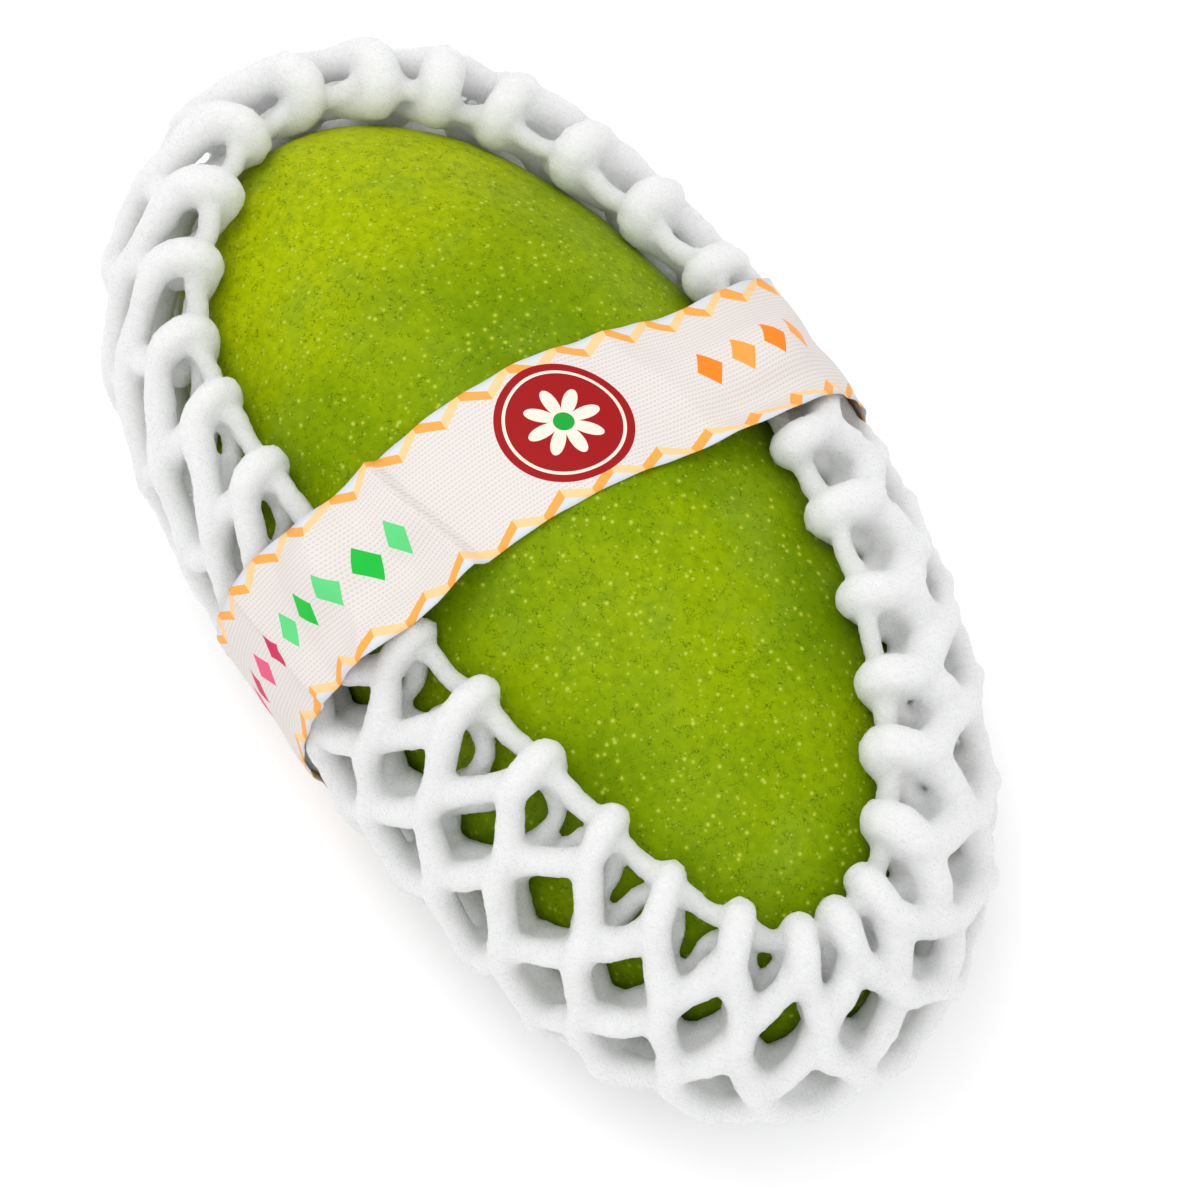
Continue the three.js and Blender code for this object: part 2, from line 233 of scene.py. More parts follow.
def mangoSkin():
    # unripe mango skin, waxy: a soft gloss over mottled green, strewn with pale raised pores and
    # fine darker flecks, with a dull bloom in patches; painted light and shade lie in the green too, in broad
    # lit patches, a paler stem end and a darker apex, each partly the fruit's own tone
    look = mangoLook
    material = bpy.data.materials.new("waxy_mango_skin")
    material.use_nodes = True
    tree = material.node_tree
    shader = tree.nodes["Principled BSDF"]
    place = addNode(tree, "ShaderNodeTexCoord").outputs["Object"]
    along = addNode(tree, "ShaderNodeSeparateXYZ", links={"Vector": place}).outputs["X"]

    # broad random patches of the lit green over the mid green: partly mottled tone, partly painted light and
    # shade
    broad = addNode(tree, "ShaderNodeTexNoise", {"Scale": 1 / (26 * mm), "Detail": 3.0}, {"Vector": place})
    broadToneAndLightMask = addNode(tree, "ShaderNodeMapRange", {"From Min": 0.4, "From Max": 0.62},
                        {"Value": broad.outputs[0]})
    ground = addNode(tree, "ShaderNodeMix", {"data_type": "RGBA", 6: linearColour(look["mid"]),
                     7: linearColour(look["lit"])}, {0: broadToneAndLightMask.outputs[0]}).outputs[2]
    # paler and yellower towards the stem end: partly the fruit's own tone, partly painted light where the key
    # lamp falls
    stemToneAndLightMask = addNode(tree, "ShaderNodeMapRange", {"From Min": -22 * mm, "From Max": -68 * mm, "To Max": 1.0},
                       {"Value": along})
    ground = addNode(tree, "ShaderNodeMix", {"data_type": "RGBA", 7: linearColour(look["stemEnd"])},
                     {0: stemToneAndLightMask.outputs[0], 6: ground}).outputs[2]
    # darker towards the apex: partly the fruit's own tone, partly painted shade on the side away from the key
    # lamp
    apexToneAndShadeMask = addNode(tree, "ShaderNodeMapRange", {"From Min": 10 * mm, "From Max": 75 * mm, "To Max": 0.25},
                       {"Value": along})
    ground = addNode(tree, "ShaderNodeMix", {"data_type": "RGBA", 7: linearColour(look["shaded"])},
                     {0: apexToneAndShadeMask.outputs[0], 6: ground}).outputs[2]
    patch = addNode(tree, "ShaderNodeTexNoise", {"Scale": 1 / (10 * mm), "Detail": 5.0, "Roughness": 0.6},
                    {"Vector": place})
    patchMask = addNode(tree, "ShaderNodeMapRange", {"From Min": 0.52, "From Max": 0.72, "To Max": 0.55},
                        {"Value": patch.outputs[0]})
    ground = addNode(tree, "ShaderNodeMix", {"data_type": "RGBA", 7: linearColour(look["bloom"])},
                     {0: patchMask.outputs[0], 6: ground}).outputs[2]

    grain = addNode(tree, "ShaderNodeTexNoise", {"Scale": 1 / (1.5 * mm), "Detail": 4.0, "Roughness": 0.65},
                    {"Vector": place})
    grainMask = addNode(tree, "ShaderNodeMapRange", {"From Min": 0.42, "From Max": 0.7, "To Max": 0.42},
                        {"Value": grain.outputs[0]})
    ground = addNode(tree, "ShaderNodeMix", {"data_type": "RGBA", 7: linearColour(look["grain"])},
                     {0: grainMask.outputs[0], 6: ground}).outputs[2]
    # short curled streaks, where one noise is near its middle and another is high
    curl = addNode(tree, "ShaderNodeTexNoise", {"Scale": 1 / (look["streak"] * mm), "Detail": 1.0},
                   {"Vector": place})
    fromCurl = addNode(tree, "ShaderNodeMath", {"operation": "SUBTRACT", 1: 0.5}, {0: curl.outputs[0]})
    beside = addNode(tree, "ShaderNodeMath", {"operation": "ABSOLUTE"}, {0: fromCurl})
    thin = addNode(tree, "ShaderNodeMapRange", {"From Min": 0.012, "From Max": 0.038, "To Min": 1.0,
                   "To Max": 0.0}, {"Value": beside})
    moved = addNode(tree, "ShaderNodeMapping", {"Location": (0.31, 0.17, 0.23)}, {"Vector": place})
    gate = addNode(tree, "ShaderNodeTexNoise", {"Scale": 1 / (1.3 * mm), "Detail": 1.0}, {"Vector": moved})
    gateMask = addNode(tree, "ShaderNodeMapRange", {"From Min": 0.47, "From Max": 0.58, "To Max": 0.64},
                       {"Value": gate.outputs[0]})
    fleckMask = addNode(tree, "ShaderNodeMath", {"operation": "MULTIPLY"}, {0: thin, 1: gateMask})
    ground = addNode(tree, "ShaderNodeMix", {"data_type": "RGBA", 7: linearColour(look["fleck"])},
                     {0: fleckMask, 6: ground}).outputs[2]
    # pores of two sizes, each in a paler ring
    dot = addNode(tree, "ShaderNodeTexVoronoi", {"Scale": 1 / (look["dotCell"] * mm)}, {"Vector": place})
    edge = look["dotRadius"] / look["dotCell"]
    haloMask = addNode(tree, "ShaderNodeMapRange", {"From Min": edge, "From Max": edge * 2.6, "To Min": 0.38,
                       "To Max": 0.0}, {"Value": dot.outputs["Distance"]})
    ground = addNode(tree, "ShaderNodeMix", {"data_type": "RGBA", 7: linearColour(look["halo"])},
                     {0: haloMask.outputs[0], 6: ground}).outputs[2]
    dotMask = addNode(tree, "ShaderNodeMapRange", {"From Min": edge * 0.6, "From Max": edge * 1.25,
                      "To Min": 0.52, "To Max": 0.0}, {"Value": dot.outputs["Distance"]})
    ground = addNode(tree, "ShaderNodeMix", {"data_type": "RGBA", 7: linearColour(look["dot"])},
                     {0: dotMask.outputs[0], 6: ground}).outputs[2]
    small = addNode(tree, "ShaderNodeTexVoronoi", {"Scale": 1 / (look["smallDotCell"] * mm)}, {"Vector": place})
    edge = look["smallDotRadius"] / look["smallDotCell"]
    smallMask = addNode(tree, "ShaderNodeMapRange", {"From Min": edge * 0.6, "From Max": edge * 1.4,
                        "To Min": 0.36, "To Max": 0.0}, {"Value": small.outputs["Distance"]})
    ground = addNode(tree, "ShaderNodeMix", {"data_type": "RGBA", 7: linearColour(look["dot"])},
                     {0: smallMask.outputs[0], 6: ground}).outputs[2]

    peel = addNode(tree, "ShaderNodeTexNoise", {"Scale": 1 / (0.9 * mm), "Detail": 2.0}, {"Vector": place})
    peelBump = addNode(tree, "ShaderNodeBump", {"Strength": 0.35, "Distance": 0.12 * mm},
                       {"Height": peel.outputs[0]})
    poreBump = addNode(tree, "ShaderNodeBump", {"Strength": 0.4, "Distance": 0.1 * mm},
                       {"Height": dotMask.outputs[0], "Normal": peelBump})
    rough = addNode(tree, "ShaderNodeMapRange", {"From Min": 0.3, "From Max": 0.7, "To Min": 0.36,
                    "To Max": 0.52}, {"Value": patch.outputs[0]})
    tree.links.new(ground, shader.inputs["Base Color"])
    tree.links.new(rough.outputs[0], shader.inputs["Roughness"])
    tree.links.new(poreBump.outputs[0], shader.inputs["Normal"])
    shader.inputs["IOR"].default_value = 1.45
    shader.inputs["Specular IOR Level"].default_value = 0.04  # the bloom dulls the wax
    return material


# The foam net: round strands of expanded polyethylene, fused where they cross

netLook = {
    "pinch": 0.45,          # how nearly the strands run side by side at a knot
    "strandRadius": 2.15,   # mm
    "rimRadius": 1.55,      # mm, of the strand drawn along the fold from knuckle to knuckle
    "overlap": 0.6,         # mm that one family of strands rides over the other
    "knuckleRise": 0.75,    # how much the rim's knuckles stand over the valleys between them
    "knuckleReach": 4.6,    # mm each side of the fold where the two strands of a knuckle run as one
    "drop": 4.2,            # mm that the knuckles' strands sit below the rim line
    "stemShare": 0.8,       # share of that which is left out at the stem end, and how far round
    "stemReach": 5.0,
    # mm more on the far side and on the near side of the stem end: depth, middle and reach, the last two in
    # half cells from the stem end
    "moreDrop": ((2.6, -17, 7), (2.2, 11, 5)),
    # how much thicker the strands are at the stem end and along the far side, where the sleeve is gathered
    "swell": ((0.34, 0, 9), (0.3, -17, 6.5)),
    "swellReach": 20.0,     # mm each side of the fold
    "innerTwist": 0.6,      # half cells that the inner layer is pulled round, one way at each end
    "innerThin": 0.34,      # how much thinner the stretched strands of its first row are
    "innerFull": 0.06,      # how much thicker the inner layer is below that row, pressed wide on the fruit
    "innerSlip": 9.8,       # mm that the inner layer's knots lie further down than even rows would put them
    "cutShift": 2.5,        # mm that the inner layer is lengthened and the outer one shortened at the cut
    "wander": 0.16,         # half cells that the strands stray round the fruit
    "wanderAlong": 0.704,   # mm that they stray up and down
    "stemFlare": 1.8,       # mm that the outer layer stands off the stem end
    "step": 1.1,            # mm between the points of a strand
    "sides": 10,
    "voxel": 0.6,           # mm
    "smoothing": 2,
    "crumb": 500,           # loose bits of fewer faces than this are cleared away
    "wrinkle": 0.34,        # mm
    "floor": 0.02,          # mm that the pressed strands lie over the table
    "bandFloor": 0.35,      # mm that the band lifts the net where it passes below
    # the foam's two whites, speckled by the fibre noise: partly its fibrous tone, partly painted glints
    "shade": "#EEF2F2", "light": "#FFFFFF",
    "fibre": 0.8, "bubble": 0.55,  # mm
    "scatter": 6.0,         # mm that light soaks into the foam
}


def fromStemEnd(half):
    # half cells round from the gathered middle of the stem end, above zero on the near side
    return (half - 21) % (2 * net["cells"]) - net["cells"]


def strayed(half, along):
    # gentle unevenness, the same for both families so that their knots stay together
    turn = half * math.pi / net["cells"]
    sideways = np.sin(5 * turn + 0.11 * along + 1.3) + 0.7 * np.sin(9 * turn - 0.17 * along + 4.1)
    upward = np.sin(7 * turn - 0.13 * along + 0.4) + 0.7 * np.sin(11 * turn + 0.09 * along + 2.2)
    return half + netLook["wander"] * sideways, along + netLook["wanderAlong"] * upward


def netPoint(half, along, depth, rise):
    # the place of a strand's middle, by half cells round and by mm down from the fold, below zero inside
    way = descents(half)
    fromStem = fromStemEnd(half)
    drop = netLook["drop"] * (1 - netLook["stemShare"] * hump(fromStem, 0, netLook["stemReach"]))
    for more, middle, reach in netLook["moreDrop"]:
        drop = drop + more * hump(fromStem, middle, reach)
    whole = net["firstRow"] + net["rowPitch"] * net["outerRows"]
    v = stopAt(way, drop + np.maximum(0, np.abs(along) - foldQuarter) * (1 - drop / whole))
    normal, base = fruitNormal(v), fruitPoint(v)
    turn = np.clip(along / foldRadius, -math.pi / 2, math.pi / 2)
    radius = foldRadius + depth
    top, below = stopAt(way, np.zeros(len(half))), stopAt(way, np.full(len(half), 2.0))
    up = fruitPoint(top) - fruitPoint(below)
    up = unit(up - normal * np.sum(up * normal, axis=1, keepdims=True))
    knuckle = 1 + rise * np.cos(math.pi * half)
    stemSide = smoothStep(-base[:, 0], 25, 62) * smoothStep(base[:, 2], 26, 40)
    away = foldMiddle + radius * np.sin(turn) + netLook["stemFlare"] * stemSide * smoothStep(turn, -1.6, 1.2)
    onBand = 1 - smoothStep(np.abs(base[:, 0] - bandLook["x"]), 11, 22)
    room = base[:, 2] - netLook["bandFloor"] * onBand
    squeeze = np.where(normal[:, 2] < 0, np.minimum(1, room / (np.maximum(1e-6, -normal[:, 2]) * netReach)), 1)
    return base + normal * (away * squeeze)[:, None] + up * (radius * np.cos(turn) * knuckle)[:, None]


def strandPaths():
    # every strand from the inner cut edge over the rim to the outer one: points, radii and whether it is a ring
    innerEnd = net["rowPitch"] * net["innerRows"] - net["firstRow"] - netLook["innerSlip"] + netLook["cutShift"]
    outerEnd = net["rowPitch"] * net["outerRows"] + net["firstRow"] - netLook["cutShift"]
    along = np.arange(-innerEnd, outerEnd, netLook["step"])
    slipped = along + netLook["innerSlip"] * smoothStep(-along, -1, 17)
    rows = (slipped - net["firstRow"]) / net["rowPitch"]
    swing = rows - netLook["pinch"] * np.sin(2 * math.pi * rows) / (2 * math.pi)
    swing *= 1 - hump(along, 0, netLook["knuckleReach"])
    atKnot = np.cos(math.pi * rows) ** 2
    firstInnerRow = hump(along, -8, 4.5)
    thinned = 1 - netLook["innerThin"] * firstInnerRow + netLook["innerFull"] * smoothStep(-along, 12, 22)
    paths = []
    for family in (1, -1):
        for strand in range(net["cells"]):
            half = 2 * strand + family * swing
            twist = netLook["innerTwist"] * np.sin(half * math.pi / net["cells"] - 2.13)
            half, place = strayed(half + twist * smoothStep(-along, 8, 20), along)
            points = netPoint(half, place, family * netLook["overlap"] * atKnot, netLook["knuckleRise"])
            uneven = 1 + 0.07 * np.sin(0.31 * along + 1.7 * strand) + 0.05 * np.sin(0.83 * along + 2.9 * strand)
            gathered, fromStem = np.ones(len(along)), fromStemEnd(half)
            for more, middle, reach in netLook["swell"]:
                gathered += more * hump(fromStem, middle, reach) * hump(along, 0, netLook["swellReach"])
            paths.append((points, netLook["strandRadius"] * uneven * gathered * thinned, False))
    # the fold itself, drawn tight from knuckle to knuckle and bowed a little towards the fruit
    rim = np.arange(0, 2 * net["cells"], 0.12)
    half, place = strayed(rim, -1.4 * np.sin(math.pi * rim / 2) ** 2)
    points = netPoint(half, place, np.zeros(len(half)), 0.12)
    paths.append((points, netLook["rimRadius"] * (1 + 0.08 * np.sin(2.3 * rim)), True))
    return paths


def strandTree():
    # turns lines of points into round strands of the thickness that each point names
    tree = bpy.data.node_groups.new("foamStrands", "GeometryNodeTree")
    face = tree.interface
    face.new_socket("Geometry", in_out="INPUT", socket_type="NodeSocketGeometry")
    face.new_socket("Sides", in_out="INPUT", socket_type="NodeSocketInt")
    face.new_socket("Foam", in_out="INPUT", socket_type="NodeSocketMaterial")
    face.new_socket("Geometry", in_out="OUTPUT", socket_type="NodeSocketGeometry")
    given = addNode(tree, "NodeGroupInput")
    curve = addNode(tree, "GeometryNodeMeshToCurve", links={"Mesh": given.outputs["Geometry"]})
    thickness = addNode(tree, "GeometryNodeInputNamedAttribute", {"data_type": "FLOAT", "Name": "strandRadius"})
    ring = addNode(tree, "GeometryNodeCurvePrimitiveCircle", {"Radius": 1.0},
                   {"Resolution": given.outputs["Sides"]})
    tube = addNode(tree, "GeometryNodeCurveToMesh", {"Fill Caps": True},
                   {"Curve": curve, "Profile Curve": ring, "Scale": thickness.outputs[0]})
    real = addNode(tree, "GeometryNodeRealizeInstances", links={"Geometry": tube})
    worn = addNode(tree, "GeometryNodeSetMaterial", links={"Geometry": real, "Material": given.outputs["Foam"]})
    addNode(tree, "NodeGroupOutput", links={"Geometry": worn})
    return tree


def reliefTree():
    # clears the crumbs that the remesh leaves, and pushes fine wrinkles out of the finished surface
    tree = bpy.data.node_groups.new("foamRelief", "GeometryNodeTree")
    face = tree.interface
    face.new_socket("Geometry", in_out="INPUT", socket_type="NodeSocketGeometry")
    face.new_socket("Crumb", in_out="INPUT", socket_type="NodeSocketInt")
    face.new_socket("Depth", in_out="INPUT", socket_type="NodeSocketFloat")
    face.new_socket("Foam", in_out="INPUT", socket_type="NodeSocketMaterial")
    face.new_socket("Geometry", in_out="OUTPUT", socket_type="NodeSocketGeometry")
    given = addNode(tree, "NodeGroupInput")
    island = addNode(tree, "GeometryNodeInputMeshIsland").outputs["Island Index"]
    faceCount = addNode(tree, "GeometryNodeAccumulateField", {"data_type": "INT", "domain": "FACE", "Value": 1},
                        {"Group ID": island}).outputs["Total"]
    crumb = addNode(tree, "FunctionNodeCompare", {"data_type": "INT", "operation": "LESS_THAN"},
                    {2: faceCount, 3: given.outputs["Crumb"]})
    whole = addNode(tree, "GeometryNodeDeleteGeometry", {"domain": "FACE"},
                    {"Geometry": given.outputs["Geometry"], "Selection": crumb})
    noise = addNode(tree, "ShaderNodeTexNoise", {"Scale": 1 / (1.9 * mm), "Detail": 3.0, "Roughness": 0.6})
    centred = addNode(tree, "ShaderNodeMath", {"operation": "SUBTRACT", 1: 0.5}, {0: noise.outputs["Fac"]})
    depth = addNode(tree, "ShaderNodeMath", {"operation": "MULTIPLY"}, {0: centred, 1: given.outputs["Depth"]})
    normal = addNode(tree, "GeometryNodeInputNormal")
    push = addNode(tree, "ShaderNodeVectorMath", {"operation": "SCALE"}, {0: normal, "Scale": depth})
    moved = addNode(tree, "GeometryNodeSetPosition", links={"Geometry": whole, "Offset": push})
    real = addNode(tree, "GeometryNodeRealizeInstances", links={"Geometry": moved})
    worn = addNode(tree, "GeometryNodeSetMaterial", links={"Geometry": real, "Material": given.outputs["Foam"]})
    addNode(tree, "NodeGroupOutput", links={"Geometry": worn})
    return tree


def setInputs(modifier, values):
    # a modifier's inputs are set by their sockets' identifiers
    for item in modifier.node_group.interface.items_tree:
        if item.in_out == "INPUT" and item.name in values:
            modifier[item.identifier] = values[item.name]


def bakedCopy(obj, name):
    # the plain mesh that an object's modifiers make, in an object of its own
    scene.view_layers[0].update()
    evaluated = obj.evaluated_get(bpy.context.evaluated_depsgraph_get())
    mesh = bpy.data.meshes.new_from_object(evaluated)
    obj.modifiers.clear()
    bpy.data.objects.remove(obj)
    made = bpy.data.objects.new(name, mesh)
    mesh.name = name
    scene.collection.objects.link(made)
    return made


def makeNet(foam):
    points, edges, radii = [], [], []
    for path, radius, closed in strandPaths():
        start = len(radii)
        points.extend((path * mm).tolist())
        radii.extend((radius * mm).tolist())
        edges.extend((start + i, start + i + 1) for i in range(len(path) - 1))
        if closed:
            edges.append((start + len(path) - 1, start))
    lines = bpy.data.meshes.new("strandLines")
    lines.from_pydata(points, edges, [])
    lines.attributes.new("strandRadius", "FLOAT", "POINT").data.foreach_set("value", radii)
    strands = bpy.data.objects.new("strandLines", lines)
    scene.collection.objects.link(strands)
    grow = strands.modifiers.new("strands", "NODES")
    grow.node_group = strandTree()
    setInputs(grow, {"Sides": netLook["sides"], "Foam": foam})
    fused = bakedCopy(strands, "fused")
    melt = fused.modifiers.new("melt", "REMESH")
    melt.mode = "VOXEL"
    melt.voxel_size = netLook["voxel"] * mm
    soften = fused.modifiers.new("soften", "SMOOTH")
    soften.factor = 0.5
    soften.iterations = netLook["smoothing"]
    relief = fused.modifiers.new("relief", "NODES")
    relief.node_group = reliefTree()
    setInputs(relief, {"Crumb": netLook["crumb"], "Depth": netLook["wrinkle"] * 2 * mm, "Foam": foam})
    piece = bakedCopy(fused, "foam_net_strands")
    coords = np.empty(len(piece.data.vertices) * 3)
    piece.data.vertices.foreach_get("co", coords)
    coords = coords.reshape(-1, 3)
    onBand = 1 - smoothStep(np.abs(coords[:, 0] / mm - bandLook["x"]), 11, 15)
    pressed = (netLook["floor"] + netLook["bandFloor"] * onBand) * mm
    coords[:, 2] = np.maximum(coords[:, 2], pressed)  # pressed flat on the table
    piece.data.vertices.foreach_set("co", coords.ravel())
    piece.data.polygons.foreach_set("use_smooth", [True] * len(piece.data.polygons))
    piece.data.update()
    return piece, coords / mm


def foamMaterial():
    # expanded polyethylene foam, extruded in strands: matt white that glows a little at its edges, with
    # a fibrous skin and small bright glints where its bubbles lie open; its white is speckled, partly fibrous
    # tone and partly painted glints
    material = bpy.data.materials.new("expanded_polyethylene_foam")
    material.use_nodes = True
    tree = material.node_tree
    shader = tree.nodes["Principled BSDF"]
    place = addNode(tree, "ShaderNodeTexCoord").outputs["Object"]
    fibre = addNode(tree, "ShaderNodeTexNoise", {"Scale": 1 / (netLook["fibre"] * mm), "Detail": 5.0,
                    "Roughness": 0.75, "Distortion": 1.2}, {"Vector": place})
    bubble = addNode(tree, "ShaderNodeTexVoronoi", {"Scale": 1 / (netLook["bubble"] * mm)}, {"Vector": place})
    # speckles of the two whites: partly the fibrous tone of the foam, partly painted glints
    shade = addNode(tree, "ShaderNodeMapRange", {"From Min": 0.38, "From Max": 0.54},
                    {"Value": fibre.outputs["Fac"]})
    colour = addNode(tree, "ShaderNodeMix", {"data_type": "RGBA", 6: linearColour(netLook["shade"]),
                     7: linearColour(netLook["light"])}, {0: shade.outputs[0]})
    rough = addNode(tree, "ShaderNodeMapRange", {"From Min": 0.05, "From Max": 0.5, "To Min": 0.16,
                    "To Max": 0.5}, {"Value": bubble.outputs["Distance"]})
    bubbleBump = addNode(tree, "ShaderNodeBump", {"Strength": 0.5, "Distance": 0.3 * mm},
                         {"Height": bubble.outputs["Distance"]})
    fibreBump = addNode(tree, "ShaderNodeBump", {"Strength": 1.0, "Distance": 0.9 * mm},
                        {"Height": fibre.outputs["Fac"], "Normal": bubbleBump})
    tree.links.new(colour.outputs[2], shader.inputs["Base Color"])
    tree.links.new(rough.outputs[0], shader.inputs["Roughness"])
    tree.links.new(fibreBump.outputs["Normal"], shader.inputs["Normal"])
    shader.inputs["IOR"].default_value = 1.45
    shader.inputs["Specular IOR Level"].default_value = 0.8
    shader.inputs["Subsurface Weight"].default_value = 0.92
    shader.inputs["Subsurface Radius"].default_value = (1.0, 1.0, 1.0)
    shader.inputs["Subsurface Scale"].default_value = netLook["scatter"] * mm
    return material


# The paper band: a strip pulled tight over the net, glued end over end beneath the fruit

bandLook = {
    "x": -6.5, "width": 21.6, "thickness": 0.16, "clearance": 0.22, "overlap": 14.0,  # mm
    "columns": 24, "step": 0.45, "turnStep": 0.5, "centreHeight": 35.0,
    "seam": 6.0,                 # mm from the bottom to the middle of the glued overlap
    "zigzag": 7.4, "ribbon": 1.45, "low": 0.1, "rise": 2.1,
    "rib": 0.62, "dash": 0.55,   # mm
    "paper": "#D6D1CD", "line": "#C0AEA6", "orange": "#E9A04A", "peach": "#EFC38C", "grey": "#CDD0D6",
    "lozenge": 5.4, "lozengeLong": 1.9, "lozengeWide": 2.9,  # mm between them, and half of each size
    # rows of lozenges: from and to, by length round the strip, and their two inks
    "rows": ((151.2, 178.2, "#19B53A", "#5CCB7A"), (178.2, 205.2, "#C42A55", "#D9567A"),
             (86.4, 108.0, "#F0801E", "#F59A45")),
    "disc": 127.2, "discRadius": 9.1, "discOffset": -0.35, "ringRadius": 7.8, "heartRadius": 1.4,
    "leafLength": 3.4, "leafStart": 1.9, "red": "#960A0D", "cream": "#E9DACB", "green": "#159A33",
    # where the strip's middle lies along the fruit, by length round it from the bottom
    "sway": ((0, 0.0), (57, 0.8), (89, 2.4), (102, 3.2), (113, 2.2), (127, 0.6), (139, 0.1), (149, 0.5),
             (157, 1.9), (164, 2.3), (171, 0.7), (179, 0.1), (192, -0.8), (212, 0.0), (266, 0.0)),
    # folds across the strip: length round it at its stem-side edge and at its other edge, height, and how far
    # the fold reaches before and after that line
    "creases": ((151.5, 147.0, 2.7, 0.5, 7.5), (162.7, 165.2, 2.8, 7.0, 9.0), (115.0, 109.0, 0.6, 5.0, 5.0),
                (181.0, 178.0, 0.8, 4.5, 1.2)),
}


bandTurns = np.radians(np.arange(0, 360, bandLook["turnStep"]))  # from the bottom


def bandOutline(x, cloud):
    # how far the tight paper stands off the band's centre line, for every turn round it, at one x
    near = cloud[np.abs(cloud[:, 0] - x) < 2.6][:, 1:] - [0, bandLook["centreHeight"]]
    support = (near @ np.stack([np.cos(bandTurns), np.sin(bandTurns)])).max(axis=0)
    lean = np.cos(bandTurns[:, None] - (bandTurns - math.pi / 2)[None, :])
    return np.where(lean > 0.05, support[:, None] / np.maximum(lean, 0.05), 1e9).min(axis=0)


def softened(values, reach, axis, wrap):
    # a running mean with a bell-shaped weight
    offsets = np.arange(-3 * reach, 3 * reach + 1)
    weights = np.exp(-(offsets / reach) ** 2)
    pad = [(0, 0)] * values.ndim
    pad[axis] = (3 * reach, 3 * reach)
    padded = np.pad(values, pad, mode="wrap" if wrap else "edge")
    return np.apply_along_axis(lambda row: np.convolve(row, weights / weights.sum(), "valid"), axis, padded)


def makeBand(paper, fruitPoints, netPoints):
    look = bandLook
    half = look["width"] / 2
    cloud = np.vstack([netPoints, fruitPoints])
    cloud = cloud[np.abs(cloud[:, 0] - look["x"]) < half + 8]
    across = np.linspace(-half - 5, half + 5, look["columns"] + 10)
    radii = np.stack([bandOutline(look["x"] + x, cloud) for x in across])
    radii = softened(softened(radii, 5, 1, True), 2, 0, False) + look["clearance"]
    # the length round the middle of the strip, for each turn
    middleRadius = radii[len(radii) // 2]
    ringPoints = middleRadius[:, None] * np.stack([np.cos(bandTurns), np.sin(bandTurns)], axis=1)
    steps = np.linalg.norm(np.diff(np.vstack([ringPoints, ringPoints[:1]]), axis=0), axis=1)
    lengths = np.concatenate([[0], np.cumsum(steps)])
    loop = lengths[-1]
    start, stop = look["seam"] - look["overlap"] / 2, look["seam"] + loop + look["overlap"] / 2
    strip = np.linspace(start, stop, int((stop - start) / look["step"]))
    columns = np.linspace(-half, half, look["columns"])
    strips, offsets = np.meshgrid(strip, columns, indexing="ij")
    turn = np.interp(strips % loop, lengths, np.append(bandTurns, 2 * math.pi))
    sway = np.interp(strips % loop, *np.array(look["sway"], float).T)
    x = offsets + np.stack([softened(sway[:, 0], 6, 0, False)] * len(columns), axis=1)
    # the paper's distance from the middle, from the nearest outlines on both sides
    place = np.clip((x - across[0]) / (across[1] - across[0]), 0, len(across) - 1.001)
    column, row = place.astype(int), turn / math.radians(look["turnStep"])
    lower, rowMix, colMix = row.astype(int) % len(bandTurns), row % 1, place % 1
    upper = (lower + 1) % len(bandTurns)
    radius = ((radii[column, lower] * (1 - rowMix) + radii[column, upper] * rowMix) * (1 - colMix)
              + (radii[column + 1, lower] * (1 - rowMix) + radii[column + 1, upper] * rowMix) * colMix)
    share = (offsets + half) / look["width"]
    for stemSide, apexSide, rise, before, after in look["creases"]:
        past = strips - stemSide - (apexSide - stemSide) * share
        radius += rise * np.clip(1 - np.abs(past) / np.where(past < 0, before, after), 0, 1) ** 1.15
    edge = (2 * np.abs(offsets) / look["width"]) ** 6
    radius += 0.22 * edge * (1 + np.sin(strips * 0.41 + 2 * share) + 0.6 * np.sin(strips * 0.93 + 1.1))
    # the first end lies under the last one
    tucked = 1 - smoothStep(strips, start + look["overlap"] + 1, start + look["overlap"] + 7)
    radius -= 1.3 * look["thickness"] * tucked
    side = turn - math.pi / 2
    height = look["centreHeight"] + radius * np.sin(side)
    points = np.stack([look["x"] + x, radius * np.cos(side), height], axis=-1)
    points[..., 2] = np.maximum(points[..., 2], 0.03 + 1.2 * look["thickness"] * tucked)
    faces = gridFaces(len(strip), len(columns))[:, ::-1]
    obj = meshObject("paper_strip", points.reshape(-1, 3) * mm, faces, paper)
    uv = obj.data.uv_layers.new(name="millimetres")
    corners = np.empty(len(obj.data.loops), int)
    obj.data.loops.foreach_get("vertex_index", corners)
    flat = np.stack([strips.ravel(), (offsets + half).ravel()], axis=1)[corners]
    uv.data.foreach_set("uv", flat.ravel())
    thick = obj.modifiers.new("thickness", "SOLIDIFY")
    thick.thickness = look["thickness"] * mm
    thick.offset = -1
    thick.use_even_offset = True
    return bakedCopy(obj, "paper_band_strip")


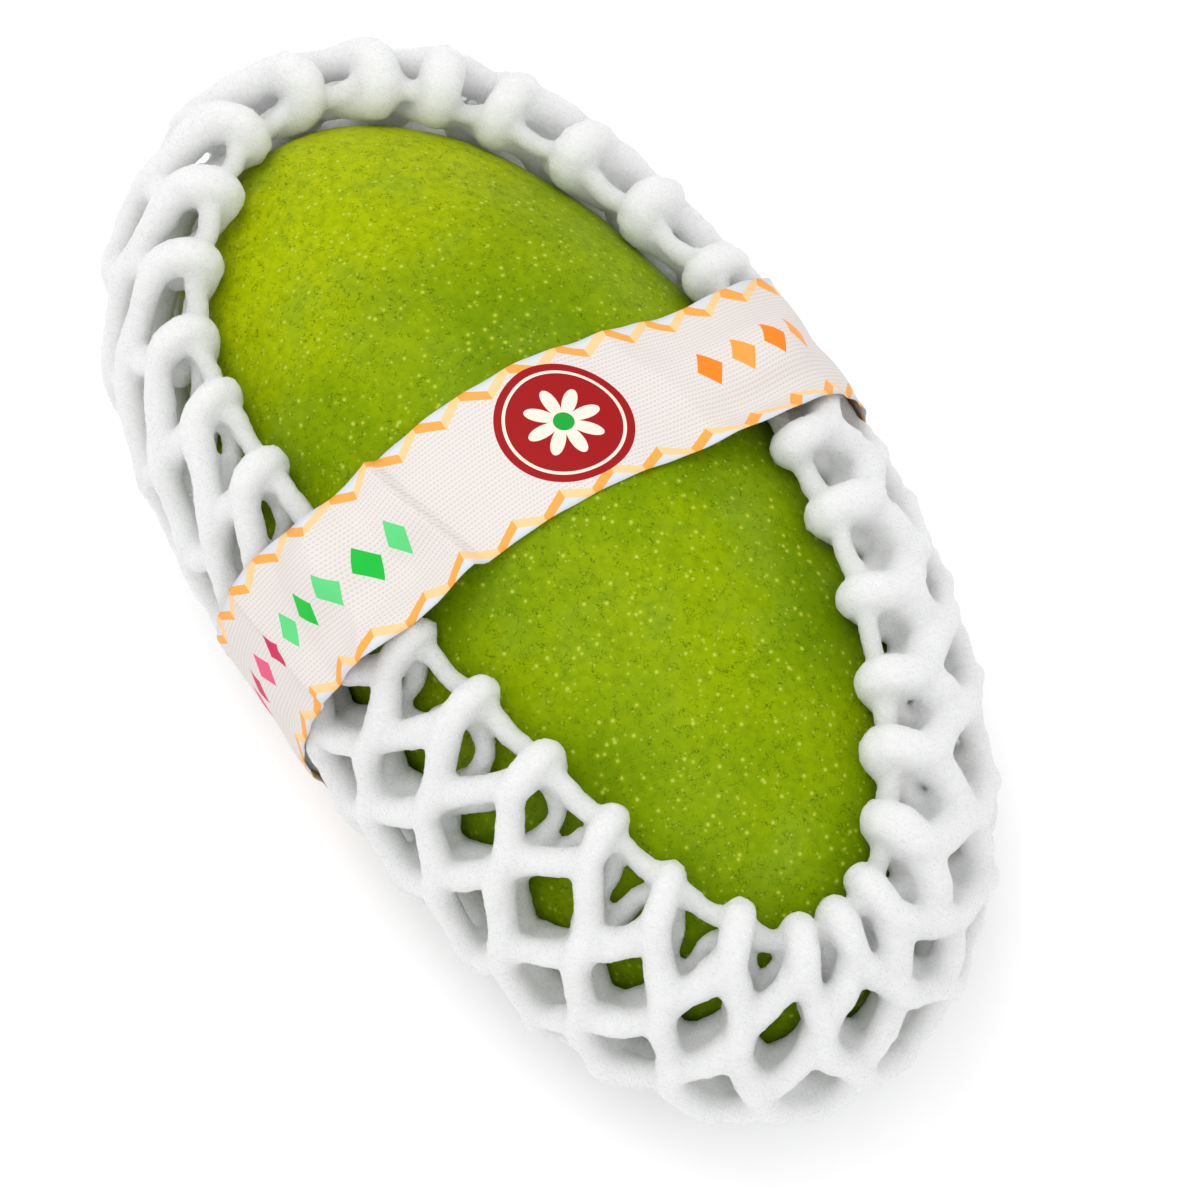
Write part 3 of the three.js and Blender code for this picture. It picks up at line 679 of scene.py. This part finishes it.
def printedPaper():
    # thin uncoated paper with a fine ribbed press mark, printed in flat inks: dull, nearly white, with
    # a zigzag ribbon along both edges, a plain round rosette on top and small lozenges on either side
    look = bandLook
    width = look["width"]
    material = bpy.data.materials.new("ribbed_printed_paper")
    material.use_nodes = True
    tree = material.node_tree
    shader = tree.nodes["Principled BSDF"]
    place = addNode(tree, "ShaderNodeUVMap", {"uv_map": "millimetres"})
    parts = addNode(tree, "ShaderNodeSeparateXYZ", links={"Vector": place})
    length, across = parts.outputs["X"], parts.outputs["Y"]

    # fine ribs along the strip, each broken into short dashes
    ribs = addNode(tree, "ShaderNodeMath", {"operation": "DIVIDE", 1: look["rib"]}, {0: across})
    rib = addNode(tree, "ShaderNodeMath", {"operation": "FRACT"}, {0: ribs})
    ribMask = addNode(tree, "ShaderNodeMath", {"operation": "LESS_THAN", 1: 0.42}, {0: rib})
    ribCount = addNode(tree, "ShaderNodeMath", {"operation": "FLOOR"}, {0: ribs})
    slip = addNode(tree, "ShaderNodeMath", {"operation": "MULTIPLY", 1: 0.37}, {0: ribCount})
    dashes = addNode(tree, "ShaderNodeMath", {"operation": "MULTIPLY_ADD", 1: 1 / look["dash"]},
                     {0: length, 2: slip})
    dash = addNode(tree, "ShaderNodeMath", {"operation": "FRACT"}, {0: dashes})
    dashMask = addNode(tree, "ShaderNodeMath", {"operation": "LESS_THAN", 1: 0.66}, {0: dash})
    lineMask = addNode(tree, "ShaderNodeMath", {"operation": "MULTIPLY"}, {0: ribMask, 1: dashMask})
    faint = addNode(tree, "ShaderNodeMath", {"operation": "MULTIPLY", 1: 0.5}, {0: lineMask})
    ink = addNode(tree, "ShaderNodeMix", {"data_type": "RGBA", 6: linearColour(look["paper"]),
                  7: linearColour(look["line"])}, {0: faint}).outputs[2]

    # the zigzag ribbon, measured in from the nearer edge
    farSide = addNode(tree, "ShaderNodeMath", {"operation": "SUBTRACT", 0: width}, {1: across})
    inward = addNode(tree, "ShaderNodeMath", {"operation": "MINIMUM"}, {0: across, 1: farSide})
    periods = addNode(tree, "ShaderNodeMath", {"operation": "DIVIDE", 1: look["zigzag"]}, {0: length})
    phase = addNode(tree, "ShaderNodeMath", {"operation": "FRACT"}, {0: periods})
    doubled = addNode(tree, "ShaderNodeMath", {"operation": "MULTIPLY_ADD", 1: 2.0, 2: -1.0}, {0: phase})
    peak = addNode(tree, "ShaderNodeMath", {"operation": "ABSOLUTE"}, {0: doubled})
    ribbon = addNode(tree, "ShaderNodeMath", {"operation": "MULTIPLY_ADD", 1: look["rise"], 2: look["low"]},
                     {0: peak})
    apart = addNode(tree, "ShaderNodeMath", {"operation": "SUBTRACT"}, {0: inward, 1: ribbon})
    beside = addNode(tree, "ShaderNodeMath", {"operation": "ABSOLUTE"}, {0: apart})
    onRibbon = addNode(tree, "ShaderNodeMath", {"operation": "LESS_THAN", 1: look["ribbon"] / 2}, {0: beside})
    outside = addNode(tree, "ShaderNodeMath", {"operation": "LESS_THAN", 1: -look["ribbon"] / 2}, {0: apart})
    rising = addNode(tree, "ShaderNodeMath", {"operation": "LESS_THAN", 1: 0.5}, {0: phase})
    slope = addNode(tree, "ShaderNodeMix", {"data_type": "RGBA", 6: linearColour(look["peach"]),
                    7: linearColour(look["orange"])}, {0: rising}).outputs[2]
    ink = addNode(tree, "ShaderNodeMix", {"data_type": "RGBA", 7: linearColour(look["grey"])},
                  {0: outside, 6: ink}).outputs[2]
    ink = addNode(tree, "ShaderNodeMix", {"data_type": "RGBA"}, {0: onRibbon, 6: ink, 7: slope}).outputs[2]

    # rows of plain lozenges
    middle = addNode(tree, "ShaderNodeMath", {"operation": "SUBTRACT", 1: width / 2}, {0: across})
    tall = addNode(tree, "ShaderNodeMath", {"operation": "ABSOLUTE"}, {0: middle})
    cells = addNode(tree, "ShaderNodeMath", {"operation": "DIVIDE", 1: look["lozenge"]}, {0: length})
    cell = addNode(tree, "ShaderNodeMath", {"operation": "FRACT"}, {0: cells})
    off = addNode(tree, "ShaderNodeMath", {"operation": "SUBTRACT", 1: 0.5}, {0: cell})
    wide = addNode(tree, "ShaderNodeMath", {"operation": "ABSOLUTE"}, {0: off})
    wideShare = addNode(tree, "ShaderNodeMath", {"operation": "MULTIPLY",
                        1: look["lozenge"] / look["lozengeLong"]}, {0: wide})
    reachOut = addNode(tree, "ShaderNodeMath", {"operation": "MULTIPLY_ADD", 1: 1 / look["lozengeWide"]},
                       {0: tall, 2: wideShare})
    inLozenge = addNode(tree, "ShaderNodeMath", {"operation": "LESS_THAN", 1: 1.0}, {0: reachOut})
    halved = addNode(tree, "ShaderNodeMath", {"operation": "MULTIPLY", 1: 0.5}, {0: cells})
    everyOther = addNode(tree, "ShaderNodeMath", {"operation": "FRACT"}, {0: halved})
    light = addNode(tree, "ShaderNodeMath", {"operation": "LESS_THAN", 1: 0.5}, {0: everyOther})
    for first, last, strong, pale in look["rows"]:
        after = addNode(tree, "ShaderNodeMath", {"operation": "GREATER_THAN", 1: first}, {0: length})
        before = addNode(tree, "ShaderNodeMath", {"operation": "LESS_THAN", 1: last}, {0: length})
        between = addNode(tree, "ShaderNodeMath", {"operation": "MULTIPLY"}, {0: after, 1: before})
        shown = addNode(tree, "ShaderNodeMath", {"operation": "MULTIPLY"}, {0: between, 1: inLozenge})
        inkPair = addNode(tree, "ShaderNodeMix", {"data_type": "RGBA", 6: linearColour(strong),
                          7: linearColour(pale)}, {0: light}).outputs[2]
        ink = addNode(tree, "ShaderNodeMix", {"data_type": "RGBA"}, {0: shown, 6: ink, 7: inkPair}).outputs[2]

    # the round: a dark red disc with a pale ring and an eight-leaved rosette
    fromDisc = addNode(tree, "ShaderNodeMath", {"operation": "SUBTRACT", 1: look["disc"]}, {0: length})
    fromMiddle = addNode(tree, "ShaderNodeMath", {"operation": "SUBTRACT", 1: look["discOffset"]}, {0: middle})
    spot = addNode(tree, "ShaderNodeCombineXYZ", links={"X": fromDisc, "Y": fromMiddle})
    out = addNode(tree, "ShaderNodeVectorMath", {"operation": "LENGTH"}, {0: spot}).outputs["Value"]
    bearing = addNode(tree, "ShaderNodeMath", {"operation": "ARCTAN2"}, {0: fromMiddle, 1: fromDisc})
    fourfold = addNode(tree, "ShaderNodeMath", {"operation": "MULTIPLY", 1: 4.0}, {0: bearing})
    swing = addNode(tree, "ShaderNodeMath", {"operation": "COSINE"}, {0: fourfold})
    leaf = addNode(tree, "ShaderNodeMath", {"operation": "ABSOLUTE"}, {0: swing})
    leafEdge = addNode(tree, "ShaderNodeMath", {"operation": "MULTIPLY_ADD", 1: look["leafLength"],
                       2: look["leafStart"]}, {0: leaf})
    inDisc = addNode(tree, "ShaderNodeMath", {"operation": "LESS_THAN", 1: look["discRadius"]}, {0: out})
    inLeaf = addNode(tree, "ShaderNodeMath", {"operation": "LESS_THAN"}, {0: out, 1: leafEdge})
    fromRing = addNode(tree, "ShaderNodeMath", {"operation": "SUBTRACT", 1: look["ringRadius"]}, {0: out})
    ringGap = addNode(tree, "ShaderNodeMath", {"operation": "ABSOLUTE"}, {0: fromRing})
    inRing = addNode(tree, "ShaderNodeMath", {"operation": "LESS_THAN", 1: 0.22}, {0: ringGap})
    inHeart = addNode(tree, "ShaderNodeMath", {"operation": "LESS_THAN", 1: look["heartRadius"]}, {0: out})
    for mask, tint in ((inDisc, "red"), (inRing, "cream"), (inLeaf, "cream"), (inHeart, "green")):
        ink = addNode(tree, "ShaderNodeMix", {"data_type": "RGBA", 7: linearColour(look[tint])},
                      {0: mask, 6: ink}).outputs[2]

    fibre = addNode(tree, "ShaderNodeTexNoise", {"Scale": 1 / (1.2 * mm), "Detail": 3.0},
                    {"Vector": addNode(tree, "ShaderNodeTexCoord").outputs["Object"]})
    fibreBump = addNode(tree, "ShaderNodeBump", {"Strength": 0.25, "Distance": 0.1 * mm},
                        {"Height": fibre.outputs[0]})
    ribBump = addNode(tree, "ShaderNodeBump", {"Strength": 0.3, "Distance": 0.06 * mm},
                      {"Height": ribMask, "Normal": fibreBump})
    tree.links.new(ink, shader.inputs["Base Color"])
    tree.links.new(ribBump.outputs[0], shader.inputs["Normal"])
    shader.inputs["Roughness"].default_value = 0.6
    shader.inputs["IOR"].default_value = 1.45
    shader.inputs["Specular IOR Level"].default_value = 0.2
    return material


# Camera, light and floor

view = {
    "turn": 56.28, "height": 67.0, "distance": 750.0, "lens": 164.97,
    "asideRight": 4.15, "asideUp": -4.64, "target": (0.04, 0.01, 37.0),
}


def makeCamera():
    turn, height = math.radians(view["turn"]), math.radians(view["height"])
    back = Vector((math.sin(turn) * math.cos(height), -math.cos(turn) * math.cos(height), math.sin(height)))
    right = Vector((math.cos(turn), math.sin(turn), 0))
    up = back.cross(right)
    camera = bpy.data.objects.new("camera", bpy.data.cameras.new("camera"))
    camera.data.lens = view["lens"]
    camera.data.sensor_width = 36
    camera.data.clip_start, camera.data.clip_end = 0.01, 20
    spot = Vector(view["target"]) + back * view["distance"] + right * view["asideRight"] + up * view["asideUp"]
    turned = Matrix((right, up, back)).transposed().to_4x4()
    camera.matrix_world = Matrix.Translation(spot * mm) @ turned
    scene.collection.objects.link(camera)
    scene.camera = camera


def addLight(name, place, target, size, watts):
    light = bpy.data.lights.new(name, "AREA")
    light.shape = "DISK"
    light.size = size
    light.energy = watts
    obj = bpy.data.objects.new(name, light)
    obj.location = place
    obj.rotation_euler = (Vector(target) - Vector(place)).to_track_quat("-Z", "Y").to_euler()
    scene.collection.objects.link(obj)


def makeStage():
    world = bpy.data.worlds.new("studio")
    scene.world = world
    world.use_nodes = True
    world.node_tree.nodes["Background"].inputs["Color"].default_value = linearColour("#FFFFFF")
    world.node_tree.nodes["Background"].inputs["Strength"].default_value = 0.92
    addLight("key", (-0.48, -0.1, 1.2), (0, 0, 0.03), 0.9, 4.8)
    addLight("front", (0.38, -0.26, 1.05), (0, 0, 0.03), 0.8, 3.0)
    material = bpy.data.materials.new("matt_white_table")
    material.use_nodes = True
    shader = material.node_tree.nodes["Principled BSDF"]
    shader.inputs["Base Color"].default_value = linearColour("#FFFFFF")
    shader.inputs["Roughness"].default_value = 0.9
    corners = [(-3, -3, 0), (3, -3, 0), (3, 3, 0), (-3, 3, 0)]
    floor = meshObject("floor", corners, [(0, 1, 2, 3)], material, smooth=False)
    scene.view_settings.view_transform = "Standard"


makeCamera()
makeStage()
print("stage 2: camera, light and floor")

mangoPiece, fruitPoints = makeMango(mangoSkin())
print("stage 3: mango,", len(mangoPiece.data.polygons), "faces")

netPiece, netPoints = makeNet(foamMaterial())
print("stage 4: foam net,", len(netPiece.data.polygons), "faces")

bandPiece = makeBand(printedPaper(), fruitPoints, netPoints)
print("stage 5: paper band,", len(bandPiece.data.polygons), "faces")

for piece, node, slot in ((mangoPiece, "mango", "mango_peel"), (netPiece, "foam_net", "foam"),
                          (bandPiece, "paper_band", "paper")):
    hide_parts(node)
    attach(piece, "root")
